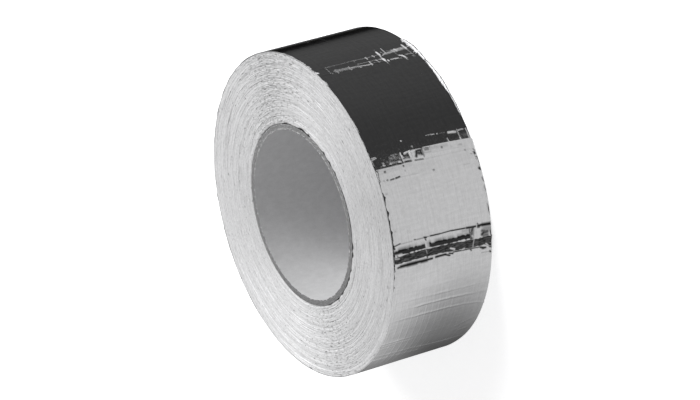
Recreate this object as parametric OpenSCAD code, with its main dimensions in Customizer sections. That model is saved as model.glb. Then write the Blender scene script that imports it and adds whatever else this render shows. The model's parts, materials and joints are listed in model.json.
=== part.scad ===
// Roll of reinforced aluminium foil tape on a cardboard core, standing on one end.
// The roll's axis is +Z, and the origin is the middle of the lower end.

/* [Roll] */
// Diameter of the roll, measured across the tape's free end
roll_d = 145; // [110:0.5:220]
// Width of the tape, which is also the length of the core
tape_w = 50; // [25:1:100]
// Thickness of the tape, which is the step at its free end
tape_t = 0.25; // [0.15:0.05:0.6]
// Angle round the roll at which the tape ends
free_end_angle = 196; // [0:0.5:359.5]

/* [Core] */
// Bore of the core
core_bore_d = 76; // [50:0.5:90]
// Wall of the core
core_wall = 2.5; // [1.5:0.1:6]
// Glue gap left between the core and the first turn
core_gap = 0.1; // [0.05:0.05:0.4]

/* [Turns on the end faces] */
// Groups of turns that stand out from their neighbours
turn_groups = 10; // [4:1:16]
// Depth of the deepest groove between two groups
turn_relief = 0.4; // [0.1:0.05:1]
// Share of a group's width taken by the steep side of its ridge
turn_lean = 0.3; // [0.2:0.05:0.8]
// Unevenness of the groups' widths, as a share of the mean width
turn_unevenness = 0.3; // [0:0.05:0.4]
// Bevel where the outermost turn meets an end face
edge_bevel = 0.4; // [0.2:0.05:1]

/* [Free end] */
// Length of the strip before the free end that has bent up from a crease
end_strip_l = 5; // [2:0.5:12]
// Height of the crease where that strip begins
end_crease_h = 0.2; // [0.1:0.05:0.6]
// How far the lower corner of the strip has lifted off the roll
corner_lift = 0.35; // [0.1:0.05:1]
// Share of the width that has lifted, counted from the lower end
corner_share = 0.5; // [0.2:0.05:0.9]

/* [Pleat across the tread] */
// Angle round the roll of the pleat's main crest at mid width
pleat_angle = 162.5; // [0:0.5:359.5]
// Width of the pleat round the roll
pleat_w = 10; // [4:0.2:16]
// Height of the pleat's main crest
pleat_h = 0.5; // [0.2:0.05:1.2]
// Lean of the pleat, the wrinkles and the end's crease, in degrees, with the upper end further round
pleat_lean = 4; // [-10:0.2:10]

/* [Double crease across the tread] */
// Angle round the roll of the middle of the double crease
fold_angle = 235; // [0:0.5:359.5]
// Distance between its two crests
fold_gap = 5; // [3:0.5:12]
// Height of each crest
fold_h = 0.35; // [0.15:0.05:1]

/* [Fine wrinkles across the tread] */
// Angle round the roll of the first wrinkle
wrinkle_angle = 141; // [0:0.5:359.5]
// Number of wrinkles side by side
wrinkles = 2; // [1:1:4]
// Distance from one wrinkle to the next
wrinkle_gap = 5.5; // [3:0.5:10]
// Height of a wrinkle
wrinkle_h = 0.2; // [0.1:0.05:0.6]

/* [Hidden] */
$fn = 96;
core_r = core_bore_d / 2 + core_wall;
first_turn_r = core_r + core_gap;
// Radius of the tread just past the free end, where it is least
spiral_r = (roll_d - tape_t) / 2;
group_w = (spiral_r - first_turn_r) / turn_groups;
golden_angle = 137.5;
// The winding's section starts this far inside the first turn, where the bore then trims it
bore_trim = 1;
// How far the feet of a crest, and then its root, lie below the tread
foot_sink = 0.05;
crest_root = 1.5;
// Width of a small crest's foot on each side, in crest heights
foot_ratio = 3;
// Crests stop this far from each end face
crest_margin = turn_relief + edge_bevel;
// The lifted corner is highest this many degrees before the free end
end_inset = 0.2;
// Width over which it then drops back to the roll
end_fall_w = 0.1;

// Where group k of the turns starts, with uneven widths and both ends fixed
function group_r(k) =
    first_turn_r + group_w * (k + turn_unevenness * sin(k * golden_angle) * sin(180 * k / turn_groups));

// Where the ridge of group k has its crest
function crest_r(k) = group_r(k) + turn_lean * (group_r(k + 1) - group_r(k));

// How far the groove before group k, and then its crest, lie below the end face
function groove_depth(k) = turn_relief * (0.75 + 0.25 * sin(k * golden_angle));
function crest_depth(k) = turn_relief * (0.15 - 0.15 * cos(k * golden_angle));

// Radius of the tread at an angle round the roll
function tread_r(angle) =
    let (turn = (angle - free_end_angle + 360) % 360)
    turn < 180 ? spiral_r : spiral_r + tape_t / 2 * (1 + cos(turn));

// The angle that a distance along the tread spans, in degrees
function tread_angle(distance) = distance / spiral_r * 180 / PI;

// Section of an end face as seen from outside: each point is a radius and a depth below the face
function end_points() = concat(
    [[first_turn_r - bore_trim, groove_depth(0)], [crest_r(0), crest_depth(0)]],
    [for (k = [1 : turn_groups - 1], crest = [0, 1])
        crest == 0 ? [group_r(k), groove_depth(k)] : [crest_r(k), crest_depth(k)]],
    [[group_r(turn_groups) - edge_bevel, turn_relief / 2],
     [group_r(turn_groups), turn_relief / 2 + edge_bevel]]
);

module winding_section() {
    side = end_points();
    last = len(side) - 1;
    polygon(concat(
        [for (i = [0 : last]) [side[i][0], side[i][1]]],
        [for (i = [last : -1 : 0]) [side[i][0], tape_w - side[i][1]]]
    ));
}

// Half of the roll. The spiral is drawn as two half rounds, and each has its own centre, so that
// the second half ends one tape thickness further out than the first began.
module half_winding(second) {
    grown = second ? tape_t / 2 : 0;
    translate([grown, 0, 0])
        rotate([0, 0, second ? 180 : 0])
            rotate_extrude(angle = 180)
                translate([grown, 0])
                    winding_section();
}

// A sharp crest that runs across the tread, between a foot further round and one less far round
module crest(angle, lean, height, far_w, near_w, upper = tape_w - crest_margin) {
    far_foot = -foot_sink - far_w * far_w / roll_d;
    near_foot = -foot_sink - near_w * near_w / roll_d;
    rotate([0, 0, angle])
        intersection() {
            translate([tread_r(angle), 0, tape_w / 2])
                rotate([-lean, 0, 0])
                    linear_extrude(height = 2 * tape_w, center = true)
                        polygon([
                            [-crest_root, far_w],
                            [far_foot, far_w],
                            [height, 0],
                            [near_foot, -near_w],
                            [-crest_root, -near_w]
                        ]);
            translate([0, -roll_d, crest_margin])
                cube([roll_d, 2 * roll_d, upper - crest_margin]);
        }
}

// Two crests make the pleat: a broad one, and a low one that ends steeply at the near side
module pleat() {
    crest(pleat_angle, pleat_lean, pleat_h, 0.5 * pleat_w, 0.25 * pleat_w);
    low_angle = pleat_angle - tread_angle(0.39 * pleat_w);
    crest(low_angle, pleat_lean, 0.6 * pleat_h, 0.22 * pleat_w, 0.09 * pleat_w);
}

// The strip before the free end starts at a crease, and its lower corner rises towards the end
module free_end() {
    foot = foot_ratio * end_crease_h;
    crest(free_end_angle - tread_angle(end_strip_l), pleat_lean, end_crease_h, foot, foot);
    crest(free_end_angle - end_inset, 0, corner_lift, end_fall_w, end_strip_l, corner_share * tape_w);
}

module double_crease() {
    for (side = [-1, 1])
        crest(fold_angle + side * tread_angle(fold_gap / 2), 0, fold_h, foot_ratio * fold_h, foot_ratio * fold_h);
}

module wrinkle_row() {
    foot = foot_ratio * wrinkle_h;
    for (i = [0 : wrinkles - 1])
        crest(wrinkle_angle - i * tread_angle(wrinkle_gap), pleat_lean, wrinkle_h, foot, foot);
}

module tape() {
    color("silver")
        difference() {
            union() {
                rotate([0, 0, free_end_angle]) {
                    half_winding(false);
                    half_winding(true);
                }
                free_end();
                pleat();
                double_crease();
                wrinkle_row();
            }
            translate([0, 0, -tape_w / 2])
                cylinder(r = first_turn_r, h = 2 * tape_w);
        }
}

module core() {
    color("darkgray")
        difference() {
            cylinder(r = core_r, h = tape_w);
            translate([0, 0, -tape_w / 2])
                cylinder(d = core_bore_d, h = 2 * tape_w);
        }
}

tape();
core();
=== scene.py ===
"""Finish of a roll of reinforced aluminium foil tape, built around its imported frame."""

import json
import math

import bpy
import numpy as np
from bpy.props import FloatProperty, FloatVectorProperty, IntProperty, PointerProperty
from mathutils import Matrix, Vector


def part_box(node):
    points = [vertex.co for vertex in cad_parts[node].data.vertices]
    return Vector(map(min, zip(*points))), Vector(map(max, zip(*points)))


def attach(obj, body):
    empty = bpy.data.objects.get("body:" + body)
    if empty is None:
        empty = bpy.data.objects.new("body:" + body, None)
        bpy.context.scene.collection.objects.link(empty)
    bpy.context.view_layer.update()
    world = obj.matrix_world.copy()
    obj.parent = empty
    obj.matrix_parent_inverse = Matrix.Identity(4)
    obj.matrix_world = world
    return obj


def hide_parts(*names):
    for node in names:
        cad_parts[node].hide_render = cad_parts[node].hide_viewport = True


bl_info = {
    "name": "Foil tape roll",
    "version": (1, 0, 0),
    "blender": (4, 5, 0),
    "location": "3D View > Sidebar > Foil roll",
    "description": "Wound foil tape on a board core, with the turns, creases and frayed edges of a real roll",
    "category": "Add Mesh",
}

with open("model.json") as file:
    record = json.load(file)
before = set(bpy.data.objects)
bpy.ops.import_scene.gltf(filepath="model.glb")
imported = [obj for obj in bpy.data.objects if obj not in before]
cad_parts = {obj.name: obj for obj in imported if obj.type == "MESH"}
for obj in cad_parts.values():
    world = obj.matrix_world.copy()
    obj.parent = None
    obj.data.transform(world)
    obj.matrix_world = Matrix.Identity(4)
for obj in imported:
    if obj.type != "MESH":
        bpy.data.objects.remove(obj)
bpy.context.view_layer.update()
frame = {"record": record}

TAU = math.tau
MM = 0.001
TAPE_LOW, TAPE_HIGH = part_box("tape")
CORE_LOW, CORE_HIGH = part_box("core")
MOUNTS = {mount["name"]: mount for mount in frame["record"]["mounts"]}
WIDTH = TAPE_HIGH[2] - TAPE_LOW[2]
ROLL_R = (TAPE_HIGH[0] - TAPE_LOW[0]) / 2
CORE_R = (CORE_HIGH[0] - CORE_LOW[0]) / 2
BORE_R = MOUNTS["core_bore"]["dims"]["r_mm"] * MM


def length(name, description, default):
    """A size in metres that the panel shows."""
    return FloatProperty(name=name, description=description, default=default, unit="LENGTH", precision=5)


def angle(name, description, degrees):
    """An angle that is written here in degrees and kept in radians."""
    return FloatProperty(name=name, description=description, default=math.radians(degrees), unit="ROTATION")


def share(name, description, default):
    """A plain number, such as a share or a strength."""
    return FloatProperty(name=name, description=description, default=default)


def tone(name, description, value):
    """A neutral colour of one linear value."""
    colour = (value, value, value * 1.01)
    return FloatVectorProperty(
        name=name, description=description, default=colour, subtype="COLOR", size=3, min=0, max=1
    )


class FOILROLL_PG_winding(bpy.types.PropertyGroup):
    tape_thickness: length("Tape thickness", "Thickness of one turn of tape", 0.25 * MM)
    core_gap: length("Core gap", "Glue gap between the core and the first turn", 0.1 * MM)
    free_end: angle("Free end", "Angle round the roll at which the tape ends", 196)
    lap: angle("Lap", "How far before the free end the outermost turn begins under it", 8)
    groups: IntProperty(name="Groups", description="Groups of turns that stand out on an end", default=10)
    relief: length("Relief", "Depth of the deepest groove between two groups", 0.2 * MM)
    unevenness: share("Unevenness", "Unevenness of the groups' widths", 0.3)
    lean: share("Lean", "Share of a group taken by the steep side of its ridge", 0.3)
    wobble: length("Wobble", "How far the edge of a single turn strays from its neighbours", 0.05 * MM)
    steps: IntProperty(name="Steps", description="Points round one turn", default=360)


class FOILROLL_PG_tread(bpy.types.PropertyGroup):
    weave: length("Weave", "Distance between two yarns of the scrim under the foil", 3.37 * MM)
    pleat_rise: length("Pleat rise", "Height of the pleat's main crest", 0.5 * MM)
    fold_rise: length("Fold rise", "Height of the double crease's crests", 0.3 * MM)
    wrinkle_rise: length("Wrinkle rise", "Height of a fine wrinkle", 0.15 * MM)
    mark_rise: length("Mark rise", "How far a small mark stands out", 0.07 * MM)
    coarse_step: length("Coarse step", "Distance between the tread's points, away from its creases", 3 * MM)
    cross_step: length("Cross step", "Distance between the tread's points across the tape", 0.27 * MM)
    edge_drop: length("Edge drop", "How far the outermost turn's edges lie inside the end faces", 0.35 * MM)


class FOILROLL_PG_finish(bpy.types.PropertyGroup):
    foil: tone("Foil", "Colour of the bright foil", 0.80)
    # painted shade: nearly black, painted where the creases hold shade and dark reflection
    shaded_foil: tone("Shaded foil", "Colour of the foil where it is shaded or creased", 0.02)
    cut_edge: tone("Cut edge", "Colour of the turns' cut edges", 0.62)
    cut_edge_dark: tone("Dark cut edge", "Colour of the yarn ends and gaps in the cut edges", 0.2)
    frayed: tone("Frayed foil", "Colour of the thin foil that has frayed out at an edge", 0.92)
    # nearly black: the glue's own dark colour together with the painted shade of the gaps between turns
    shaded_adhesive: tone("Adhesive", "Colour of the adhesive between the turns", 0.014)
    foil_relief: length("Foil relief", "Depth of the foil's weave and crinkles", 0.021 * MM)
    edge_relief: length("Edge relief", "Depth of the grain on the cut edges and the cut board", 0.08 * MM)
    liner: tone("Liner", "Colour of the core's smooth inner paper", 0.62)
    board: tone("Board", "Colour of the core's cut board", 0.19)
    floor: tone("Floor", "Colour of the floor", 0.85)


class FOILROLL_PG_stage(bpy.types.PropertyGroup):
    camera_place: FloatVectorProperty(
        name="Camera place", description="Where the camera stands", unit="LENGTH",
        default=(-1.5042, -0.1343, 0.8786),
    )
    camera_aim: FloatVectorProperty(
        name="Camera aim", description="The point that the camera looks at", unit="LENGTH",
        default=(0.0044, -0.0001, 0.0220),
    )
    picture_up: FloatVectorProperty(
        name="Picture up", description="The direction that is up in the picture",
        default=(-0.0483, -0.9703, -0.2371),
    )
    lens: FloatProperty(name="Lens", description="Focal length of the camera", default=205.0, unit="CAMERA")
    key_azimuth: angle("Key azimuth", "Direction of the key light round the roll", 275)
    key_elevation: angle("Key elevation", "Height of the key light above the floor", 42)
    key_distance: length("Key distance", "Distance of the key light", 1.8)
    key_size: length("Key size", "Side of the key light", 1.1)
    key_power: FloatProperty(name="Key power", description="Power of the key light", default=30, unit="POWER")
    fill: share("Fill", "Strength of the light from all round", 0.45)
    floor_size: length("Floor size", "Side of the floor", 12.0)
    floor_glow: share("Floor glow", "How much the camera sees the floor glow, which keeps it pale", 0.56)


def settings():
    """The add-on's settings in this scene."""
    return bpy.context.scene.foil_roll


# Mesh helpers


def new_piece(name, points, faces, material_of_face, materials, attributes=None):
    """A smooth mesh piece, from arrays of points and of four-cornered faces."""
    mesh = bpy.data.meshes.new(name)
    mesh.vertices.add(len(points))
    mesh.vertices.foreach_set("co", np.asarray(points, dtype=np.float32).ravel())
    faces = np.asarray(faces, dtype=np.int32)
    mesh.loops.add(faces.size)
    mesh.loops.foreach_set("vertex_index", faces.ravel())
    mesh.polygons.add(len(faces))
    mesh.polygons.foreach_set("loop_start", np.arange(0, faces.size, 4, dtype=np.int32))
    mesh.polygons.foreach_set("material_index", np.asarray(material_of_face, dtype=np.int32))
    mesh.update(calc_edges=True)
    mesh.validate()
    mesh.shade_smooth()
    mesh.set_sharp_from_angle(angle=math.radians(50))
    for key, values in (attributes or {}).items():
        layer = mesh.attributes.new(key, "FLOAT", "POINT")
        layer.data.foreach_set("value", np.asarray(values, dtype=np.float32).ravel())
    for material in materials:
        mesh.materials.append(material)
    piece = bpy.data.objects.new(name, mesh)
    bpy.context.scene.collection.objects.link(piece)
    return piece


def round_points(radius, angles, heights):
    """Points at a radius, an angle round the roll and a height."""
    places = np.broadcast_arrays(radius * np.cos(angles), radius * np.sin(angles), heights)
    return np.stack(places, axis=-1)


def quads_between(first, second):
    """Faces between two rows of point numbers of the same length."""
    first, second = np.asarray(first), np.asarray(second)
    return np.stack([first[:-1], first[1:], second[1:], second[:-1]], axis=1)


def grid_quads(rows):
    """Faces of a grid, given its point numbers as rows."""
    rows = np.asarray(rows)
    return np.stack([rows[:-1, :-1], rows[:-1, 1:], rows[1:, 1:], rows[1:, :-1]], axis=-1).reshape(-1, 4)


def ring_noise(angles, seed, slowest, fastest):
    """Smooth noise of about unit size round the roll, which closes on itself."""
    draw = np.random.default_rng(seed)
    value = np.zeros_like(angles)
    orders = np.unique(np.geomspace(slowest, fastest, 14).astype(int))
    for order in orders:
        value += draw.normal() * np.cos(order * angles + draw.uniform(0, TAU))
    return value / math.sqrt(len(orders) / 2)


def cell_and_blend(place):
    """The whole number below each place, and a smooth blend from 0 to 1 towards the next one."""
    low = np.floor(place).astype(int)
    blend = place - low
    return low, blend * blend * (3 - 2 * blend)


def line_noise(count, every, seed):
    """Smooth noise of unit size along a line of points, with one free value in every so many points."""
    knots = np.random.default_rng(seed).normal(size=count // every + 4)
    low, blend = cell_and_blend(np.arange(count) / every)
    return knots[low] * (1 - blend) + knots[low + 1] * blend


def line_field(places, pitch, seed):
    """Smooth noise of unit size along one direction, at the given pitch."""
    knots = np.random.default_rng(seed).normal(size=4096)
    low, blend = cell_and_blend(np.asarray(places) / pitch)
    return knots[low % 4096] * (1 - blend) + knots[(low + 1) % 4096] * blend


def patch_field(across, along, pitch, seed):
    """Smooth noise of unit size over the tread, at the given pitch both ways."""
    knots = np.random.default_rng(seed).normal(size=(64, 64))
    (low_u, blend_u), (low_v, blend_v) = cell_and_blend(across / pitch), cell_and_blend(along / pitch)

    def row(u):
        return knots[u % 64, low_v % 64] * (1 - blend_v) + knots[u % 64, (low_v + 1) % 64] * blend_v

    return row(low_u) * (1 - blend_u) + row(low_u + 1) * blend_u


def bulges(angles, places):
    """Sum of smooth bulges round the roll, each a place and a half width in degrees, and a size."""
    total = np.zeros_like(angles)
    for place, width, size in places:
        away = (np.degrees(angles) - place + 180) % 360 - 180
        total += size * np.exp(-((away / width) ** 2))
    return total


# Shapes of the wound turns

# Each row holds bulges round the roll: a place and a half width in degrees, and a size. The first rows
# say where the first turns stand off the core, and where the painted shade along their glue line is widest.
CORE_GAPS = ((204, 1.3, 0.8), (211.2, 1.1, 0.7), (218.6, 1.4, 0.9), (236.2, 1, 0.8), (243.3, 3.5, 0.9),
             (262, 5, 0.45), (100, 3, 0.4), (112, 2, 0.5), (119, 1.5, 0.5), (128, 4, 0.35), (134, 1.5, 0.5),
             (141, 1.5, 0.5), (152, 1.6, 0.8), (157.5, 2, 0.7))
WIDE_GLUE_LINE = ((300, 34, 0.5),)
# Where the core's inner paper is torn into pale bits
TORN_LIP = ((300, 28, 0.8), (262, 14, 0.7), (225, 22, 1), (190, 16, 0.8), (150, 12, 0.5), (20, 25, 0.4))
# Where the cut yarns show most on the end faces, and where beside the core
YARN_ZONES = ((269, 19, 0.9), (258, 42, 0.3), (93, 19, 0.8), (20, 30, 0.15), (190, 30, 0.15))
INNER_YARN_ZONE = ((262, 30, 1),)
# Where a dark line of painted shade runs along the rim of the end faces, and along the outermost turn's cut
# edges
RIM_PAINTED_SHADE = ((300, 45, 1), (174, 16, 0.5), (0, 60, 0.5))
LAST_EDGE_PAINTED_SHADE = ((300, 45, 1), (170, 18, 1), (198, 12, 1), (0, 60, 0.6))
# Painted sheen and shade of the end faces: how light they are painted at angles round the roll,
# one in every 30 degrees, against their mean
END_PAINTED_LIGHT = (1.04, 1.18, 1.3, 1.12, 1.0, 0.97, 0.87, 1.0, 1.08, 0.95, 1.02, 1.0)
GOLDEN_ANGLE = math.radians(137.5)


def end_depth(radius, first_r, last_r):
    """How deep the groups of turns lie below the end face at each radius, as in the solid."""
    wind = settings().winding
    count = np.arange(wind.groups + 1)
    swing = np.sin(GOLDEN_ANGLE * count) * np.sin(math.pi * count / wind.groups)
    starts = first_r + (last_r - first_r) / wind.groups * (count + wind.unevenness * swing)
    crests = starts[:-1] + wind.lean * np.diff(starts)
    groove = wind.relief * (0.75 + 0.25 * np.sin(GOLDEN_ANGLE * count))
    crest = wind.relief * (0.15 - 0.15 * np.cos(GOLDEN_ANGLE * count[:-1]))
    places = np.append(np.ravel(np.column_stack([starts[:-1], crests])), last_r)
    depths = np.append(np.ravel(np.column_stack([groove[:-1], crest])), wind.relief / 2)
    return np.interp(radius, places, depths)


def spiral_r(angles):
    """Radius of the winding's outer side at an angle counted on from the tape's free end."""
    wind = settings().winding
    return ROLL_R - wind.tape_thickness / 2 + wind.tape_thickness * (angles - wind.free_end) / TAU


def turn_shades(angles, radius, lift):
    """How densely the yarn ends show, the painted sheen of the turns, and the painted shade in their gaps."""
    wind = settings().winding
    # the zones of the yarns lean on the -Y side, from 16.5 mm below the tread inwards
    slant = np.radians(1.7) * np.clip((ROLL_R - radius) / MM - 16.5, 0, 8) * (np.sin(angles) < 0)
    beside_core = np.exp(-(((radius - CORE_R) / (5 * MM)) ** 2))
    density = bulges(angles - slant, YARN_ZONES) + 0.06
    density += 0.4 * beside_core * bulges(angles, INNER_YARN_ZONE)
    # painted sheen and shade: the end faces' colour is lighter and darker by angle round the roll, and from
    # the core outwards
    light = np.interp(np.degrees(angles) % 360, np.arange(13) * 30, (*END_PAINTED_LIGHT, END_PAINTED_LIGHT[0]))
    outward = (radius - (CORE_R + ROLL_R) / 2) / (ROLL_R - CORE_R) * 2
    light *= 1 + 0.06 * np.cos(angles - 0.2) * outward
    # painted shade in the gaps where the first turns stand off the core, then along the glue line beside it,
    # then along the rim
    inside = (radius - CORE_R - wind.core_gap) / MM
    outside = (ROLL_R - wind.tape_thickness - radius) / MM
    gap = np.clip(2.4 * lift - 0.4, 0, 1.3) * np.clip(1.6 - inside / (0.35 + 0.6 * lift), 0, 1)
    uneven = np.clip(0.6 + 0.4 * line_noise(len(angles), 3, 27), 0, 1)
    wide = bulges(angles, WIDE_GLUE_LINE)
    glue = np.clip(0.75 + wide - inside / 0.35, 0, 1) * np.clip(uneven + 0.6 * wide, 0, 1)
    rim = np.clip(1.5 - outside / 0.3, 0, 1) * np.clip(uneven + 0.3, 0, 1)
    rim *= np.clip(bulges(angles, RIM_PAINTED_SHADE), 0, 1)
    gap = np.clip(np.maximum(np.maximum(gap, glue), rim), 0, 1)
    return {"yarn_ends": density, "light": light, "gap": gap}


def wound_turns():
    """The turns under the outermost one, drawn as one real spiral of tape with an end face at each side."""
    wind = settings().winding
    steps = wind.steps
    last = wind.free_end - wind.lap
    turns = int((spiral_r(last) - CORE_R - wind.core_gap) / wind.tape_thickness)
    count = (turns + 1) * steps + 1
    angles = last + (np.arange(count) / steps - turns - 1) * TAU
    radius = spiral_r(angles)
    lift = np.clip(bulges(angles, CORE_GAPS), 0, 0.7)
    near_core = np.exp(-(radius - CORE_R - wind.core_gap).clip(0) / (0.6 * MM))
    radius = np.maximum(radius, CORE_R + wind.core_gap + lift * near_core * MM)
    base = end_depth(radius, CORE_R, ROLL_R)
    points = []
    for side, seed in (("upper", 3), ("lower", 4)):
        # the edge of the tape strays slowly and quickly, and now and then it stands proud
        stray = line_noise(count, 40, seed) + 0.6 * line_noise(count, 7, seed + 10)
        proud = np.clip(line_noise(count, 70, seed + 20) - 1.6, 0, 1)
        depth = np.clip(base + wind.wobble * (stray - 3 * proud) + 1.2 * wind.wobble, 0.01 * MM, 2 * MM)
        points.append(round_points(radius, angles, WIDTH - depth if side == "upper" else depth))
    # the spiral closes on itself at the core and under the outermost turn
    up = np.arange(count)
    low = up + count
    inner = np.append(np.arange(steps + 1), 0)
    outer = np.append(np.arange(count - steps - 1, count), count - steps - 1)
    faces = [
        quads_between(up[:-steps], up[steps:])[:, ::-1],
        quads_between(low[:-steps], low[steps:]),
        quads_between(up[inner], low[inner])[:, ::-1],
        quads_between(up[outer], low[outer]),
    ]
    slots = [np.full(len(part), slot) for part, slot in zip(faces, (0, 0, 1, 1))]
    shades = turn_shades(angles, radius, lift)
    attributes = {key: np.tile(values, 2) for key, values in shades.items()}
    return np.concatenate(points), np.concatenate(faces), np.concatenate(slots), attributes


# Shapes of the tread

# A place is a height above the lower end in millimetres and an angle round the roll in degrees, and a
# line is a row of places from the upper end down
FREE_END_LINE = ((50, 196.6), (31, 196), (25, 195.8), (15, 195.4), (10, 195.1), (0, 194.5))
END_CREASE_LINE = ((50, 192.6), (45, 192.5), (40, 192.3), (35, 192.15), (30, 192), (25, 191.75),
                   (10, 191.2), (0, 190.8))
PLEAT_TOP_LINE = ((50, 166.6), (47, 166.8), (40, 166.6), (33.5, 166.5), (30, 166.4), (22, 166.3),
                  (16, 165.8), (12, 165.5), (8, 165.2), (5, 165), (0, 164.6))
PLEAT_CREST_LINE = ((50, 162.9), (45, 162.85), (35, 162.75), (30, 162.45), (26, 162.25), (22, 162.05),
                    (16, 161.75), (12, 161.5), (8, 161.1), (0, 160.6))
PLEAT_LOW_LINE = ((50, 160.3), (45, 160.2), (35, 160.1), (30, 159.8), (25, 159.5), (20, 159.1), (15, 158.7),
                  (10, 158.4), (5, 158.1), (0, 157.9))
UPPER_FOLD_LINE = ((50, 237.2), (30, 236.8), (20, 236.6), (0, 236.7))
LOWER_FOLD_LINE = ((50, 233.5), (35, 233.3), (25, 232.7), (10, 232.4), (0, 232.1))
# Each wrinkle across the tread: its places, each with the share of a wrinkle's height that it has there
WRINKLES = (
    ((50, 148.5, 0.4), (20, 147.8, 0.4), (0, 147.2, 0.3)),
    ((50, 145, 0.3), (40, 144.7, 0.4), (30, 144.2, 0.5), (20, 143.8, 0.8), (10, 143.4, 1.1), (0, 143.1, 1)),
    ((50, 141.2, 0), (40, 141.2, 0.3), (34, 141.1, 1.3), (20, 140.6, 1.6), (12, 140, 1.2), (6, 139.4, 0.9),
     (0, 139, 0.7)),
    ((50, 137.2, 0.2), (45, 137, 0.8), (30, 136.5, 0.9), (20, 136.2, 1.1), (12, 135.6, 1.3),
     (5, 134.6, 1.5), (0, 133.2, 1.6)),
    ((50, 125.8, 1.6), (44, 125.7, 1.6), (38, 125.4, 1), (34, 125.3, 0.3), (0, 124.8, 0.2)),
    ((50, 124.4, 0.8), (40, 124, 0.8), (36, 123.6, 0.4), (30, 123.2, 0)),
    ((50, 122.9, 0.7), (44, 122.6, 0.5), (40, 122.5, 0)),
    ((50, 118, 0.3), (42, 117.3, 1.3), (30, 116.1, 1.2), (20, 114.4, 1.2), (10, 113.5, 1.6), (0, 112.9, 1)),
    ((50, 114.9, 1.3), (40, 114.2, 1.2), (27, 112.2, 1), (15, 111, 0.2), (0, 110.5, 0)),
    ((12, 123.3, 0), (11, 123.5, 0.9), (5, 125.5, 0.9), (0, 126.5, 0)),
    ((12, 120.6, 0), (10, 120.8, 0.7), (5, 122.4, 0.8), (0, 123.5, 0.6)),
    ((9, 119.4, 0), (7, 119.6, 0.9), (4, 119.7, 0.9), (2, 119.8, 0)),
)

# Heights at which the strip before the free end is bent up (1) or down (-1), and how dimpled it is there
END_STRIP = ((50, -1), (44.4, -1), (44, -0.6), (36.9, -0.6), (36.6, -1), (36.3, 0.3), (35.9, -0.8),
             (35.3, 0.5), (34.9, -0.1), (31.6, -0.1), (31.2, 1), (0, 1))
END_DIMPLES = ((50, 0.2), (45, 0.3), (44, 0.6), (37, 0.6), (36, 1.2), (31.6, 1.3), (30.8, 0.6), (25.3, 0.5),
               (24.8, 0.15), (0, 0.1))
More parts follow.
